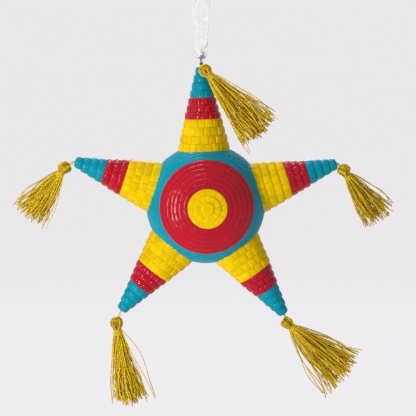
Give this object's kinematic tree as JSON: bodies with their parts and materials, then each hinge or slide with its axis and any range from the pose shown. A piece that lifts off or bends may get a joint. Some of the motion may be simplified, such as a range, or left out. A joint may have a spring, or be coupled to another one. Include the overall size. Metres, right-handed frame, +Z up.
{
  "type": "star pinata ornament",
  "caption": "Hanging star pinata ornament: a ringed ball with stepped conical points, a metallic-thread tassel at every tip, and a wire eye on a ribbon loop.",
  "frame": {"origin": "inside the top of the ribbon loop, where the hook or branch bears", "axes": "+Z is up, the front of the star faces -Y, and +X is to the right seen from the front"},
  "size_m": [0.1524, 0.048, 0.2022],
  "materials": {
    "teal_plastic": "satin gloss",
    "red_plastic": "gloss",
    "yellow_plastic": "satin gloss",
    "gold_thread": "metallic thread",
    "gold_cord": "tightly twisted metallised plastic thread",
    "ribbon_fabric": "sheer woven ribbon",
    "steel_wire": "bright wire"
  },
  "bodies": {
    "ribbon": {"ribbon": "ribbon_fabric", "ribbon_knot": "ribbon_fabric"},
    "star": {"front_shell": "teal_plastic", "back_shell": "teal_plastic", "front_dish": "red_plastic", "back_dish": "red_plastic", "front_button": "yellow_plastic", "back_button": "yellow_plastic", "top_collar": "yellow_plastic", "top_band": "red_plastic", "top_cap": "teal_plastic", "right_collar": "yellow_plastic", "right_band": "red_plastic", "right_cap": "teal_plastic", "lower_right_collar": "yellow_plastic", "lower_right_band": "red_plastic", "lower_right_cap": "teal_plastic", "lower_left_collar": "yellow_plastic", "lower_left_band": "red_plastic", "lower_left_cap": "teal_plastic", "left_collar": "yellow_plastic", "left_band": "red_plastic", "left_cap": "teal_plastic", "hanger_eye": "steel_wire", "top_thread_anchor": "gold_cord", "right_thread_anchor": "gold_cord", "lower_right_thread_anchor": "gold_cord", "lower_left_thread_anchor": "gold_cord", "left_thread_anchor": "gold_cord"},
    "top_thread": {"top_hang_thread": "gold_cord"},
    "top_tassel": {"top_tassel_head": "gold_thread", "top_tassel_binding": "gold_thread", "top_tassel_skirt": "gold_thread"},
    "right_thread": {"right_hang_thread": "gold_cord"},
    "right_tassel": {"right_tassel_head": "gold_thread", "right_tassel_binding": "gold_thread", "right_tassel_skirt": "gold_thread"},
    "lower_right_thread": {"lower_right_hang_thread": "gold_cord"},
    "lower_right_tassel": {"lower_right_tassel_head": "gold_thread", "lower_right_tassel_binding": "gold_thread", "lower_right_tassel_skirt": "gold_thread"},
    "lower_left_thread": {"lower_left_hang_thread": "gold_cord"},
    "lower_left_tassel": {"lower_left_tassel_head": "gold_thread", "lower_left_tassel_binding": "gold_thread", "lower_left_tassel_skirt": "gold_thread"},
    "left_thread": {"left_hang_thread": "gold_cord"},
    "left_tassel": {"left_tassel_head": "gold_thread", "left_tassel_binding": "gold_thread", "left_tassel_skirt": "gold_thread"}
  },
  "joints": [
    {"name": "star_swing", "type": "hinge", "parent": "ribbon", "child": "star", "pos_m": [0, 0, -0.05], "axis": [0, 1, 0], "range_deg": [-30, 30]},
    {"name": "top_thread_swing", "type": "hinge", "parent": "star", "child": "top_thread", "pos_m": [0.00013, -0.00219, -0.05404], "axis": [0, 1, 0], "range_deg": [-40, 10]},
    {"name": "top_tassel_tilt", "type": "hinge", "parent": "top_thread", "child": "top_tassel", "pos_m": [0.00089, -0.00423, -0.05496], "axis": [0.7547, 0, 0.6561], "range_deg": [-40, 6]},
    {"name": "right_thread_swing", "type": "hinge", "parent": "star", "child": "right_thread", "pos_m": [0.05463, 0, -0.09301], "axis": [0, 1, 0], "range_deg": [-60, 3]},
    {"name": "right_tassel_tilt", "type": "hinge", "parent": "right_thread", "child": "right_tassel", "pos_m": [0.0558, 0, -0.09425], "axis": [0.8192, 0, 0.5736], "range_deg": [-30, 30]},
    {"name": "lower_right_thread_swing", "type": "hinge", "parent": "star", "child": "lower_right_thread", "pos_m": [0.03363, 0, -0.15399], "axis": [0, 1, 0], "range_deg": [-45, 30]},
    {"name": "lower_right_tassel_tilt", "type": "hinge", "parent": "lower_right_thread", "child": "lower_right_tassel", "pos_m": [0.034, -0.00062, -0.15531], "axis": [0.6494, 0, 0.7604], "range_deg": [-30, 30]},
    {"name": "lower_left_thread_swing", "type": "hinge", "parent": "star", "child": "lower_left_thread", "pos_m": [-0.03231, 0, -0.15221], "axis": [0, 1, 0], "range_deg": [-45, 45]},
    {"name": "lower_left_tassel_tilt", "type": "hinge", "parent": "lower_left_thread", "child": "lower_left_tassel", "pos_m": [-0.03328, 0, -0.15535], "axis": [0.9903, 0, 0.1392], "range_deg": [-30, 30]},
    {"name": "left_thread_swing", "type": "hinge", "parent": "star", "child": "left_thread", "pos_m": [-0.05058, 0, -0.09191], "axis": [0, 1, 0], "range_deg": [-30, 60]},
    {"name": "left_tassel_tilt", "type": "hinge", "parent": "left_thread", "child": "left_tassel", "pos_m": [-0.05264, 0, -0.09331], "axis": [0.788, 0, -0.6157], "range_deg": [-30, 30]}
  ]
}
